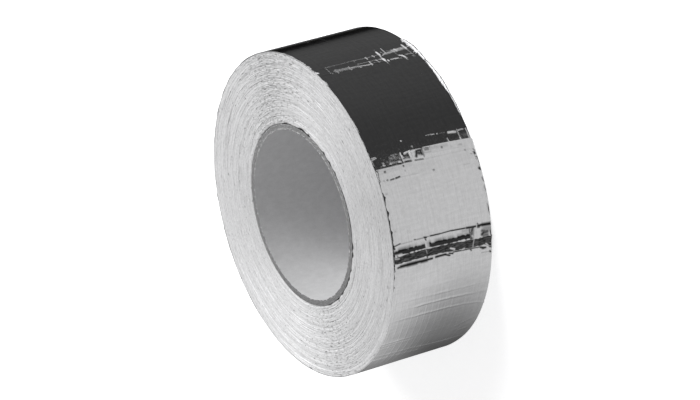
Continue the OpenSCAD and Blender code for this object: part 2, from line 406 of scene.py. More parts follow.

# Each mark on the foil: two places that it runs between, its width in millimetres and its strength up
# to 1. A strength below 0 wipes off what earlier marks gave. The first marks lie on the part of the
# outermost turn that begins under the free end, and the last ones on the part that leads up to it. The
# pale marks are mostly painted glints, and the dark ones mostly painted shade and dark reflection in the
# creases.
FIRST_PALE_MARKS = (
    # painted glints along the double crease
    (44.1, 237, 29.6, 236.8, 0.4, 0.32), (29.6, 236.8, 16.6, 236.5, 0.35, 0.4),
    (29.9, 237, 29.6, 236, 0.4, 0.4), (23.6, 237, 23.4, 235.9, 0.5, 0.8), (20, 237.1, 19.8, 236, 0.4, 0.7),
    (16.3, 242.9, 16.5, 240.3, 0.3, 0.2), (16.6, 240.2, 16.8, 238.3, 0.25, 0.35),
    (16.8, 238.4, 16.9, 236.2, 0.9, 1), (17.1, 236.2, 17.3, 234.2, 0.4, 0.75),
    (17.3, 233.9, 17.1, 232.4, 0.8, 1), (17.1, 232.4, 16.6, 231.2, 0.35, 0.6),
    (16.9, 233.9, 16.7, 233.1, 0.6, 1), (15.1, 238.1, 14.9, 236.3, 0.35, 0.45),
    (13.4, 239.9, 13.5, 236.3, 0.4, 0.65), (15.8, 235.7, 14.4, 236.3, 0.5, 0.6),
    (14.1, 236.3, 9.9, 236.5, 2, 0.45), (12.1, 237.7, 10.1, 237.1, 0.7, 0.3),
    (9.9, 236.8, 4.2, 236.9, 2.7, 0.52), (8.4, 237.6, 8.2, 236.1, 0.6, 0.9),
    (10, 236.9, 9.6, 236, 0.5, 0.7), (6.8, 236.8, 6.4, 236, 0.8, 0.4), (5.2, 237.6, 4.9, 236.2, 0.35, 0.5),
    (3.5, 238.9, 3.4, 235.8, 0.65, 1), (3.4, 235.7, 3.2, 232.3, 0.6, 0.4),
    (9.9, 235.7, 9.5, 233.7, 0.4, 0.35), (43.8, 237.1, 43.8, 233.2, 0.35, 0.35),
    (44, 234.9, 43.6, 234.9, 0.5, 0.4), (44.2, 233.5, 43, 233.2, 0.4, 0.4),
    (40.9, 233.9, 34.6, 233.6, 2.9, 0.37), (40.8, 234.7, 40.6, 232.5, 0.45, 0.5),
    (34.2, 234.5, 34, 232.5, 0.45, 0.55), (34.6, 233.6, 30.1, 233.3, 1.5, 0.45),
    (30, 233.2, 24.6, 232.7, 0.8, 0.6), (29.9, 233.3, 29.4, 232.5, 0.6, 0.6),
    (29.6, 234.5, 17, 234.2, 0.45, 0.38), (23.8, 234.4, 23.8, 232.2, 0.5, 0.75),
    (20.6, 234.3, 20.2, 233.6, 0.6, 0.65), (20.4, 232.8, 20.1, 232.5, 0.5, 0.55),
    (23.6, 232.8, 18.2, 232.7, 0.35, 0.35), (18.8, 234.1, 17.2, 233.8, 0.45, 0.6),
    (15.8, 232.5, 15.6, 232.1, 0.6, 1), (14.2, 232.4, 10.9, 232.3, 0.8, 0.75),
    (10.6, 232.1, 9.2, 231.9, 0.7, 0.35), (9, 233.5, 8, 233, 0.7, 0.95), (8.1, 233.1, 7.5, 231.9, 0.85, 1),
    (7.2, 231.6, 6, 231.3, 0.5, 0.45), (6.2, 233.2, 3.3, 233, 0.6, 0.4),
    (3.8, 231.6, 1.2, 231.4, 0.45, 0.4), (1.9, 233.2, 1.2, 233.5, 0.45, 0.55),
    (1.2, 240.7, 0.3, 242.3, 1.2, 0.9), (1.3, 238.3, 0.8, 234.3, 0.6, 0.8),
    # frayed bits at the rim
    (49.7, 235.8, 48.9, 235.2, 1, 0.9), (49.8, 229.6, 49.4, 228.9, 0.6, 0.8),
    # beside the free end
    (32.9, 199.9, 32.6, 199.9, 0.4, 0.9), (28.9, 197.2, 28.7, 197, 0.8, 0.5),
    (35.3, 197.4, 35.1, 197.3, 0.6, 0.2), (20.5, 199.45, 18.6, 199.35, 0.35, 0.45),
    (18.2, 199.3, 16.4, 199.15, 0.35, 0.6), (15.2, 199.1, 14.8, 199, 0.45, 0.6),
    (13.6, 198.9, 11.2, 198.7, 0.3, 0.3), (9.6, 198.35, 6.3, 198, 1.1, 0.75),
    (9.5, 198.5, 7, 198.3, 0.35, 0.95), (5.2, 198.6, 5, 195.1, 0.5, 0.55),
    (4.6, 198.3, 2.2, 198.3, 0.6, 0.5), (3.8, 196.4, 1.4, 196, 1.3, 0.22),
    (0.9, 198.2, 0.8, 195.2, 0.5, 0.7), (11.2, 196.5, 10.9, 195.5, 0.6, 0.55),
    (5.1, 195.6, 4.8, 195.2, 0.6, 0.8), (49.5, 196.8, 47.3, 196.9, 0.25, 0.55),
)
FIRST_DARK_MARKS = (
    # dark marks at the back
    (30.2, 261.6, 27.6, 261.2, 0.8, 0.9), (27.6, 260.9, 25.8, 260.2, 0.5, 0.8),
    (34, 263.1, 30.5, 261.9, 0.5, 0.7),
)
LAST_PALE_MARKS = (
    (49.5, 196.2, 47.2, 196.4, 0.3, 0.7), (49.7, 195.9, 49.6, 194.2, 0.4, 0.6),
    (45.2, 196.2, 45.1, 196, 0.5, 0.3), (45.2, 194.3, 44.6, 194.1, 0.75, 0.5),
    (45.2, 193.6, 44.6, 193.4, 0.65, 0.55), (46.6, 193.3, 46.3, 193.2, 0.4, 0.3),
    (41.2, 195.7, 41.6, 193.7, 0.4, 0.36), (41.6, 193.5, 41.4, 193.3, 0.5, 0.38),
    (40.3, 194.9, 37.2, 194.7, 2.6, 0.27), (41, 193.7, 37, 193.4, 0.7, 0.36),
    (39.4, 195.7, 38.6, 195.6, 0.5, 0.45), (40.4, 196, 37.8, 196.2, 0.45, 0.4),
    (36.5, 195.3, 36.2, 195.2, 0.4, 0.35), (35.9, 195.7, 35.8, 194.8, 0.3, 0.6),
    (35.3, 194.9, 34.9, 194.4, 0.4, 0.8), (36.6, 193.3, 36.4, 193, 0.45, 0.4),
    (35.1, 193.6, 34.9, 193, 0.4, 0.5), (33.7, 195.6, 32, 195.9, 0.4, 0.85),
    (34.4, 193.3, 31.8, 193.1, 1, 0.5), (34.4, 194.2, 32, 194, 1, 0.3), (31.1, 195.4, 30.6, 193, 0.5, 0.45),
    (30.6, 195.6, 26, 195.5, 0.4, 0.85),
    (3.4, 190.7, 2.6, 190.4, 0.35, 0.6), (2.4, 190, 1.6, 189.6, 0.35, 0.8),
    (3, 189.2, 2.2, 188.9, 0.3, 0.5), (1.4, 187.3, 0.8, 186.9, 0.5, 0.9),
    (1.4, 184.9, 0.9, 184.7, 0.4, 0.8),
)
LAST_DARK_MARKS = (
    (27.6, 195.1, 25.8, 195, 1, 0.95), (26.2, 194.9, 25.9, 193.6, 1, 0.95),
    (28, 195, 28.8, 193.4, 1.1, 0.95), (27.5, 194.3, 26.8, 194.1, 1.5, 0.88),
    (25.3, 195.5, 25.2, 192.6, 0.3, 0.7), (34.9, 192.5, 31.7, 192.3, 0.35, 0.85),
    (30, 192.15, 25.9, 191.9, 0.3, 0.75), (50, 192.7, 36, 192.35, 0.3, 0.7),
    (36.1, 194.2, 36, 192.5, 0.45, 0.9), (23.7, 194.8, 22.3, 194.7, 1.1, 0.6),
    (24.4, 195.2, 21.6, 194.9, 0.5, 0.2), (24.6, 193.8, 21.5, 193.6, 0.4, 0.2),
    (24.9, 195.4, 24.8, 193, 0.3, 0.25), (21.3, 195.3, 21.2, 193.4, 0.3, 0.18),
    (21, 194.7, 13, 194.3, 1.3, 0.15), (15.8, 193.95, 15.6, 193.9, 0.7, 0.6),
    (11.2, 193.4, 10.8, 193.3, 0.6, 0.12), (7.2, 193.2, 6, 193.1, 0.7, 0.22),
    (21, 193.2, 5, 192.4, 0.3, 0.07), (25, 191.75, 2, 190.9, 0.3, 0.1), (49.2, 192, 48.6, 192.1, 0.5, 0.4),
    (45.7, 191, 45.4, 191, 0.65, 0.5), (36.2, 191.3, 36.1, 191.3, 0.5, 0.65),
    (36.2, 189.8, 36.1, 189.8, 0.55, 0.25), (5.3, 191.1, 5.1, 191, 0.65, 0.5),
    (45.8, 188.3, 45.5, 188.3, 0.6, 0.6), (47.6, 188.4, 47.1, 188.3, 0.45, 0.3),
    (44.2, 188.1, 42.6, 188.1, 0.32, 0.85), (42.6, 188.1, 41.4, 188.15, 0.25, 0.5),
    (41.4, 188.15, 39.4, 188.35, 0.38, 0.95), (39.2, 188.2, 30, 187.8, 0.25, 0.12),
    (22.9, 187.5, 22.5, 187.5, 0.7, 0.55), (48.1, 184, 47.8, 184, 0.7, 0.25),
    (7.6, 186.4, 5, 186.3, 0.45, 0.15), (47.8, 171.4, 47.4, 171.3, 0.6, 0.3),
    # painted shade and dark reflection in the pleat
    (49.9, 166.6, 49.05, 165.5, 0.8, 1), (48.95, 166.4, 46.15, 166.8, 0.5, 0.9),
    (45.95, 166.6, 40.15, 166.5, 0.3, 0.3), (38.95, 166.8, 38.35, 166.7, 0.45, 0.8),
    (37.75, 166.6, 34.15, 166.5, 0.4, 0.55), (34.05, 166.6, 32.95, 166.4, 0.7, 1),
    (33.65, 166.1, 33.25, 165.5, 0.5, 0.9), (32.95, 166.6, 31.65, 166.5, 0.3, 0.6),
    (30.95, 166.5, 26.25, 166.3, 0.52, 1), (26.25, 166.3, 20.35, 166.25, 0.4, 0.95),
    (20.35, 166.2, 13.35, 165.7, 0.5, 1), (12.6, 165.6, 7.9, 165.2, 0.95, 1),
    (7.2, 165.2, 4.3, 165.2, 1.1, 1), (4.5, 165.1, 0, 164.7, 1.6, 1), (6.95, 166.1, 6.65, 165.7, 0.45, 0.8),
    (33.75, 165.1, 33.45, 163.2, 0.5, -1), (34.05, 161.1, 33.05, 159.2, 0.4, 0.9),
    (33.65, 162.1, 33.25, 160.9, 0.3, -0.4), (50, 164.2, 48.65, 164.3, 0.4, 0.9),
    (48.65, 164.3, 47.95, 163.4, 0.45, 1), (47.85, 163.3, 46.95, 163.9, 0.4, 1),
    (49.6, 163, 46.15, 163, 1.1, -0.9), (49.4, 162.1, 47.35, 161.8, 0.6, -0.6),
    (48.35, 163.1, 47.95, 162.6, 0.4, 0.7), (47.9, 158.6, 46.3, 158.8, 0.9, 0.95),
    (46.5, 158.8, 43.35, 158.75, 1.5, 1), (43.35, 158.75, 38.5, 158.6, 1.9, 1),
    (38.5, 158.7, 36.1, 158.6, 1.4, 1), (36.1, 158.5, 33.4, 158.45, 1.7, 1),
    (33.4, 158.5, 30.65, 158.45, 1, 1), (28.75, 158.6, 23.95, 158.55, 1.1, 1),
    (23.95, 158.4, 21.75, 157.7, 0.75, 1), (22.15, 158.6, 20.15, 158, 0.6, 1),
    (20.15, 158.6, 13.15, 158.1, 0.5, 1), (12.95, 158.1, 5.75, 157.5, 0.5, 0.9),
    (11.15, 157.7, 10.75, 157.2, 0.6, 0.9), (5.95, 157.3, 3.35, 156.7, 0.8, 1),
    (5.15, 156.7, 4.15, 156.5, 0.6, 0.9), (2.55, 158, 0.4, 157.2, 1.3, 1),
    (1.4, 156.7, 0.3, 156.3, 0.6, 0.9), (1.2, 154.9, 0.3, 154.5, 0.8, 0.9),
    (5.35, 155.2, 1.55, 154.9, 0.3, 0.35), (21.35, 160.2, 19.35, 159.5, 0.6, -1),
    (15.65, 158.5, 14.45, 158.7, 0.45, -0.8), (3.35, 158.2, 2.35, 157.6, 0.4, -0.9),
    (14.6, 164.9, 11.6, 164.6, 1.6, 0.3), (13.2, 163.6, 11.8, 163.4, 1.6, 0.4),
    (14.6, 162.7, 11.3, 162.4, 1.1, 0.95), (11.2, 165.2, 11.3, 161.5, 0.45, 0.85),
    (11.3, 161.5, 11.3, 157.6, 0.35, 0.8), (8.2, 164.2, 7.6, 161.8, 1.6, -1),
    (6.6, 164.1, 6.2, 161.9, 1.2, -0.9), (9.8, 164.8, 10.4, 161.9, 2.1, 0.75),
    (9.3, 165.1, 10.2, 164, 0.9, 0.95), (10.7, 163.7, 10.5, 163, 0.7, 0.9),
    (10.7, 161.9, 10.7, 161.4, 0.6, 0.9), (10.1, 162.4, 9.9, 162, 0.6, -0.7),
    (7, 166, 6.9, 165.8, 0.5, 0.7), (7.4, 165.5, 7.8, 164.7, 0.3, -0.8),
    (7.8, 164.7, 9.4, 161.3, 0.35, -0.7), (9.3, 161.3, 10, 158.3, 0.35, -0.55),
    (6.9, 164.8, 6.1, 164.75, 0.9, 0.9), (5.1, 161.9, 4.2, 162.4, 1.5, 0.95),
    (4.9, 163.1, 3.6, 162.9, 1.3, 0.8), (3.9, 162.3, 2.4, 162.4, 1.9, 0.85),
    (4.6, 161.5, 2.4, 161.3, 1.3, 0.75), (3.6, 163.5, 0.3, 163.1, 2.8, 0.5),
    (0.7, 162.4, 0.5, 160.6, 0.9, 0.92),
    # dark spots along the edges
    (49.9, 191.7, 49.6, 189.9, 0.9, 0.9), (49.9, 189.5, 49.5, 188.6, 0.8, 0.8),
    (49.9, 184.3, 49.6, 182.9, 0.8, 0.9), (49.9, 182.5, 49.7, 181.3, 0.6, 0.8),
    (49.9, 178.7, 49.6, 177.5, 0.6, 0.8), (49.9, 176.2, 49.7, 173.7, 0.45, 0.7),
    (49.9, 171.2, 49.4, 168.5, 0.55, 0.8), (49.9, 167.9, 49.5, 166.2, 0.8, 0.95),
    (49.9, 165.4, 49.6, 164.2, 0.8, 0.9), (49.9, 161.8, 49.6, 160.4, 0.8, 0.9),
    (49.9, 158.6, 49.6, 157.6, 0.6, 0.8), (1.1, 189.5, 0.7, 188.1, 0.9, 0.95),
    (1.2, 190.7, 0.6, 190.1, 0.5, 0.5), (1.1, 184.1, 0.7, 183.7, 0.9, 0.9),
    (0.7, 180.7, 0.4, 179.7, 0.6, 0.6), (0.7, 171.7, 0.4, 168.5, 0.45, 0.45),
    (0.7, 177.7, 0.4, 176.7, 0.5, 0.5),
)

# Tears in the two edges of the outermost turn: places and half widths in degrees, depths in millimetres
UPPER_TEARS = ((190.4, 1.6, 0.9), (182.8, 1.5, 0.7), (178, 1, 0.7), (175, 0.6, 0.5), (171, 1.3, 0.7),
               (166.2, 0.6, 0.5), (163.5, 1.2, 0.4), (159, 0.8, 0.45), (155.2, 0.5, 0.35), (151.5, 0.4, 0.3))
LOWER_TEARS = ((188.8, 0.7, 0.9), (183.8, 0.5, 0.6), (180, 0.4, 0.4), (176.4, 0.5, 0.25), (170, 1.2, 0.3),
               (161.6, 0.5, 0.4), (157.5, 0.8, 0.5), (154.4, 0.3, 0.6))

# Stretches of the tread in degrees whose columns stand closer, and how many times closer than the
# coarse step
CLOSE_COLUMNS = ((231, 239.5, 15), (195.2, 200.8, 15), (182.5, 195.2, 11), (157, 167.8, 15),
                 (239.5, 243.5, 10), (154.5, 157, 10), (133, 145.5, 8), (122, 127, 8), (112, 118.3, 8),
                 (118.3, 122, 5), (145.5, 149.5, 5), (167.8, 182.5, 5), (149.5, 154.5, 4), (103, 133.5, 3))

# Lobes of the frayed strip: where each begins and ends in degrees, and how far it stands out in
# millimetres. Each point of its section is a share of that reach, or below 0 a distance inwards in
# millimetres, and a height in millimetres.
FRAYED_LOBES = ((242, 227.5, 0.95), (228.5, 211, 0.85), (212, 203, 0.35))
FRAYED_SECTION = ((-0.5, 0.05), (-0.5, 0.12), (0.55, 0.14), (0.8, 0.2), (0.92, 0.34), (1, 0.3), (1, 0.05))


def arc_from(angles, heights, line):
    """Distance in millimetres round the tread from a line across it, growing with the angle."""
    places, degrees = zip(*sorted(line))
    away = (np.degrees(angles) - np.interp(heights / MM, places, degrees) + 180) % 360 - 180
    return np.radians(away) * ROLL_R / MM


def along_width(heights, values):
    """A value at each height, from pairs of a height in millimetres and a value."""
    return np.interp(heights / MM, *zip(*sorted(values)))


def tread_angles():
    """Angles of the tread's columns from under the free end to the free end, closer at the creases."""
    wind, tread = settings().winding, settings().tread
    angles = [wind.free_end - wind.lap]
    end = wind.free_end + TAU
    while angles[-1] < end:
        here = math.degrees(angles[-1]) % 360
        seen = angles[-1] > wind.free_end - 0.02
        closer = [times for low, high, times in CLOSE_COLUMNS if low <= here < high and seen]
        angles.append(angles[-1] + tread.coarse_step / ROLL_R / max(closer, default=1))
    angles[-1] = end
    return np.array(angles)


def sharp_crest(away, half_width):
    """A small sharp crest of unit height."""
    return np.clip(1 - np.abs(away) / half_width, 0, 1) ** 1.5


def draw_marks(marks, angles, heights, rise, shade):
    """Adds marks to the rise and to the painted glints or the painted shade of a stretch of the tread."""
    mark_rise = settings().tread.mark_rise
    across, along = heights / MM, np.radians(np.degrees(angles) % 360) * ROLL_R / MM
    for first_z, first_angle, last_z, last_angle, width, strength in marks:
        # distance in millimetres from the nearest point between the mark's two places
        first = np.array([first_z, math.radians(first_angle) * ROLL_R / MM])
        way = np.array([last_z, math.radians(last_angle) * ROLL_R / MM]) - first
        size = math.hypot(*way) + 1e-6
        part = np.clip(((across - first[0]) * way[0] + (along - first[1]) * way[1]) / size**2, 0, 1)
        away = np.hypot(across - first[0] - part * way[0], along - first[1] - part * way[1])
        # full inside the mark, with a soft border
        amount = np.clip(1.35 - away / (width / 2 + 0.12), 0, 1)
        rise += mark_rise * amount * abs(strength) * (1 if width < 1 else 0.3)
        if strength > 0:
            np.maximum(shade, amount * strength, out=shade)
        else:
            shade *= 1 + amount * strength


def pleat(angles, heights, rise, painted_shade):
    """The pleat: two long crests, with painted shade and dark reflection in the hollows beside them."""
    top_rise = settings().tread.pleat_rise
    crest = arc_from(angles, heights, PLEAT_CREST_LINE)
    low = arc_from(angles, heights, PLEAT_LOW_LINE)
    top = arc_from(angles, heights, PLEAT_TOP_LINE)
    rise += top_rise * np.interp(crest, (-2.6, -0.6, 0, 0.6, 2.6, 4.6), (0, 0.55, 1, 0.6, 0.15, 0))
    rise += 0.5 * top_rise * np.interp(low, (-1.1, -0.6, -0.3, 1.2, 3.2), (0, 0.8, 1, 0.35, 0))
    rise += 0.25 * top_rise * sharp_crest(top, 0.9)
    # a band of painted shade above the crest, with soft flames on its upper side
    flames = 0.5 + 0.14 * line_field(heights, 0.6 * MM, 51) + 0.4 * line_field(heights, 2.3 * MM, 52)
    uneven = 0.12 * line_field(heights, 0.9 * MM, 56)
    core = 0.97 * np.interp(crest + uneven, (0.15, 0.35, 1.7, 2.4), (0, 1, 1, 0))
    halo = np.interp(crest, (1.5, 2.0, 3.9), (0, 0.7, 0)) * np.clip(0.2 + flames, 0, 1.2)
    strength = np.interp(heights / MM, (9.3, 11.5, 31.6, 32.2, 33.4, 34.2), (0, 1, 1, 0.4, 0.2, 1))
    above = np.clip(core + halo, 0, 1) * strength
    # a band of painted shade between the two crests, with a ragged lower side
    mottle = 0.5 * patch_field(heights, 4 * angles * ROLL_R, 1.3 * MM, 53)
    mottle += 0.3 * patch_field(heights, 2 * angles * ROLL_R, 0.6 * MM, 54)
    ragged = 0.12 * line_field(heights, 1.1 * MM, 55)
    bridge = 0.25 * np.clip(line_field(heights, 1.4 * MM, 57) - 0.2, 0, 1) * (heights < 0.7 * WIDTH)
    inside = np.clip(np.minimum(bridge + uneven - crest - 0.08, low + ragged + 0.3) / 0.25, 0, 1)
    below = inside * np.clip(0.94 + 0.09 * mottle, 0, 1)
    np.maximum(painted_shade, np.maximum(above, below), out=painted_shade)


def double_crease(angles, heights, rise, stray):
    """The two crests of the double crease."""
    for line, seed in ((UPPER_FOLD_LINE, 32), (LOWER_FOLD_LINE, 33)):
        swell = np.clip(0.6 + 0.45 * line_field(heights, 2.6 * MM, seed), 0.1, 1.3)
        away = arc_from(angles, heights, line) + stray
        rise += settings().tread.fold_rise * swell * sharp_crest(away, 0.8)


def wrinkles(angles, heights, rise, stray):
    """The fine wrinkles across the tread."""
    for number, line in enumerate(WRINKLES):
        away = arc_from(angles, heights, [point[:2] for point in line])
        swell = np.clip(1 + 0.25 * line_field(heights, 5 * MM, 91 + number), 0.4, 1.5)
        swell *= along_width(heights, [point[::2] for point in line])
        rise += settings().tread.wrinkle_rise * swell * sharp_crest(away + 0.4 * stray, 0.85)


def end_strip(angles, heights, rise):
    """The strip before the free end, bent up or down from its crease on and dimpled between the yarns."""
    away = arc_from(angles, heights, END_CREASE_LINE)
    bent = along_width(heights, END_STRIP)
    slope = np.where(bent > 0, 0.085 * bent, 0.035 * bent)
    rise += np.clip(away + 1.5 * (bent > 0), 0, None) * MM * slope
    inside = np.clip(away / 0.4, 0, 1)
    dimples = along_width(heights, END_DIMPLES) * patch_field(heights, angles * ROLL_R, 1.1 * MM, 61)
    rise += inside * 0.035 * MM * dimples


def tread_relief(angles, heights):
    """How far the creases lift the foil, how much it is painted pale for glints and fraying, and how much
    painted shade.
    """
    wind = settings().winding
    along = angles * ROLL_R
    rise, painted_glint_and_fray, painted_shade = np.zeros_like(angles), np.zeros_like(angles), np.zeros_like(angles)
    stray = 0.22 * line_field(heights, 1.3 * MM, 31)
    double_crease(angles, heights, rise, stray)
    wrinkles(angles, heights, rise, stray)
    # the tread lies a little flatter round 106 degrees, above all in its lower half
    flat_side = (np.degrees(angles) % 360 - 106) / 9
    rise -= 0.2 * MM * np.exp(-(flat_side**2)) * np.interp(heights / MM, (28, 38), (1, 0.2))
    pleat(angles, heights, rise, painted_shade)
    # beside the seen end face the rim of the foil is frayed
    fray = 0.2 + 0.2 * line_field(along, 0.7 * MM, 38) + 0.12 * line_field(along, 3 * MM, 39)
    beside_face = (angles > math.radians(197)) & (angles < math.radians(268))
    painted_glint_and_fray += 0.85 * (beside_face & (heights > WIDTH - fray * MM))
    # marks, each on its own part of the turn
    begins = angles < wind.free_end + math.pi
    ends = angles > wind.free_end + 1.5 * math.pi
    marked = (
        (begins, FIRST_PALE_MARKS, painted_glint_and_fray), (begins, FIRST_DARK_MARKS, painted_shade),
        (ends, LAST_PALE_MARKS, painted_glint_and_fray), (ends, LAST_DARK_MARKS, painted_shade),
    )
    for part, marks, shades in marked:
        lifted, shade = rise[part], shades[part]
        draw_marks(marks, angles[part], heights[part], lifted, shade)
        rise[part], shades[part] = lifted, shade
    # the strip before the free end, and a faint unevenness all over
    flap = angles > wind.free_end + TAU - math.radians(8)
    lifted = rise[flap]
    end_strip(angles[flap], heights[flap], lifted)
    rise[flap] = lifted
    rise += 0.012 * MM * line_field(along, 9 * MM, 36)
    rise += 0.004 * MM * patch_field(heights, along, 6 * MM, 37)
    return rise, painted_glint_and_fray, painted_shade


def ragged_drop(columns, tears, seed):
    """How far an edge of the outermost turn lies inside the end face along the tape."""
    along, last_part = columns * ROLL_R, columns > TAU
    drop = 1 + 0.22 * line_field(along, 2.5 * MM, seed) + 0.25 * line_field(along, 0.6 * MM, seed + 1)
    stretches = (194, 199, 265, 280, 360, 361, 512, 522)
    drop *= np.interp(np.degrees(columns), stretches, (1, 0.25, 0.25, 1, 1, 0.3, 0.3, 1))
    torn = bulges(columns, tears) * (1 + 0.35 * line_field(along, 0.8 * MM, seed + 2)) * last_part
    return np.clip(settings().tread.edge_drop * drop + torn * MM, 0.05 * MM, None)


def outermost_turn():
    """The last turn of tape, from where it leaves the winding to its free end on the tread."""
    wind, tread = settings().winding, settings().tread
    columns = tread_angles()
    count = int(round(WIDTH / tread.cross_step)) + 1
    drop_up, drop_low = ragged_drop(columns, UPPER_TEARS, 41), ragged_drop(columns, LOWER_TEARS, 44)
    heights = drop_low + (WIDTH - drop_low - drop_up) * np.linspace(0, 1, count)[:, None]
    # the last degrees follow the slanting free end
    slant = along_width(heights, FREE_END_LINE) - math.degrees(wind.free_end)
    last = np.clip(1 - (columns[-1] - columns) / math.radians(9), 0, 1)
    angles = columns + np.radians(slant) * last
    rise, painted_glint_and_fray, painted_shade = tread_relief(angles, heights)
    base = spiral_r(angles)
    outer = round_points(base + rise, angles, heights)
    # the inner side of the tape rises with the strip where that has come off the roll
    inner_r = base + np.clip(rise - 0.25 * MM, 0, None) * last - wind.tape_thickness * 0.96
    inner = round_points(inner_r, angles, heights)[[0, -1]]
    points = np.concatenate([outer.reshape(-1, 3), inner.reshape(-1, 3)])
    numbers = np.arange(angles.size).reshape(angles.shape)
    low_in = angles.size + np.arange(len(columns))
    up_in = low_in + len(columns)
    faces = [
        grid_quads(numbers),
        quads_between(low_in, up_in)[:, ::-1],
        quads_between(low_in, numbers[0]),
        quads_between(numbers[-1], up_in),
    ]
    slots = [np.full(len(part), slot) for part, slot in zip(faces, (0, 1, 2, 2))]
    clean = np.zeros(2 * len(columns))
    attributes = {
        "painted_shade": np.concatenate([painted_shade.ravel(), clean]),
        "painted_glint_and_fray": np.concatenate([painted_glint_and_fray.ravel(), clean]),
        # painted shade along the outermost turn's cut edges, which lie below the end faces
        "gap": np.tile(np.clip(bulges(columns, LAST_EDGE_PAINTED_SHADE), 0, 1), count + 2),
        "light": np.ones(len(points)),
    }
    return points, np.concatenate(faces), np.concatenate(slots), attributes


def frayed_strip():
    """A thin strip of foil frayed out beyond the tread's lower edge, in lobes with a curled border."""
    points, faces, slots = [], [], []
    share_along = np.linspace(0, 1, 61)
    for number, (first, last, width) in enumerate(FRAYED_LOBES):
        angles = np.radians(first + (last - first) * share_along)
        reach = width * np.sin(math.pi * share_along) ** 0.55
        reach *= 1 + 0.16 * line_field(share_along, 0.09, 71 + number)
        swell = 1 + 0.2 * line_field(share_along, 0.05, 81 + number)
        start = sum(len(part) for part in points)
        for out, height in FRAYED_SECTION:
            radius = ROLL_R + MM * (out * reach if out > 0 else out)
            points.append(round_points(radius, angles, np.clip(height * MM * swell, 0.02 * MM, 1)))
        rows = start + np.arange(len(FRAYED_SECTION) * len(share_along)).reshape(len(FRAYED_SECTION), -1)
        faces.append(grid_quads(np.vstack([rows, rows[:1]])))
        slots.append(np.repeat((0, 0, 0, 0, 1, 1, 1), len(share_along) - 1))
    return np.concatenate(points), np.concatenate(faces), np.concatenate(slots)


# Shape of the core

# How strongly each ply from the bore outwards is torn at a torn place, and how much pale lip it shows
PLY_TEAR = (1, 1, 0.6, 0.3, 0.2, 0.2, 0.2, 0.4, 0.8, 1)
PLY_LIP = (1, 0.8, 0, 0, 0, 0, 0, 0, 0, 0)
PLIES = len(PLY_TEAR)


def board_core():
    """The core: a tube of board whose cut ends show their plies, with a torn pale lip at the bore."""
    steps = 480
    angles = np.arange(steps) / steps * TAU
    chips = np.clip(bulges(angles, TORN_LIP), 0, 1)
    rings, pale = [], []
    for ply in range(PLIES):
        # both sides of the cut board are ragged, and so is its face
        edge = 0.06 * MM * ring_noise(angles, 90 + ply, 20, 200) * (ply in (0, 1, PLIES - 1))
        radius = BORE_R + (CORE_R - BORE_R) * (ply / (PLIES - 1)) + np.clip(edge, -0.12 * MM, 0.2 * MM)
        rough = 0.04 * MM * ring_noise(angles, 60 + ply, 4, 170)
        rings.append((radius, WIDTH - 0.1 * MM + np.clip(rough, -1, 0.09 * MM)))
        # pale bits of torn paper, and broken pale bits of the lip at the bore
        dots = np.clip(ring_noise(angles, 120 + ply, 60, 220) - 0.35, 0, 1) * 1.6
        lip = (0.9 * ring_noise(angles, 141, 25, 160) - 0.45) * PLY_LIP[ply]
        pale.append(np.clip(np.maximum(chips * dots * PLY_TEAR[ply], lip), 0, 0.9))
    # loops of points from the upper end down the outside, over the lower end and up the bore
    levels = np.linspace(WIDTH - 1.0 * MM, 1.0 * MM, 12)
    lower = [(radius, WIDTH - height) for radius, height in reversed(rings)]
    outer = [(CORE_R, np.full(steps, level)) for level in levels]
    inner = [(BORE_R, np.full(steps, level)) for level in levels[::-1]]
    loops = rings + outer + lower + inner
    plain = [np.zeros(steps)] * len(levels)
    torn = np.concatenate(pale + plain + pale[::-1] + plain)
    slots = [0] * (PLIES - 1) + [1] * (len(levels) + 1) + [0] * (PLIES - 1) + [2] * (len(levels) + 1)
    points = np.concatenate([round_points(radius, angles, height) for radius, height in loops])
    numbers = np.arange(len(points)).reshape(len(loops), steps)
    numbers = np.column_stack([numbers, numbers[:, 0]])
    numbers = np.vstack([numbers, numbers[0]])
    return points, grid_quads(numbers)[:, ::-1], np.repeat(slots, steps), {"torn": torn}


# Materials


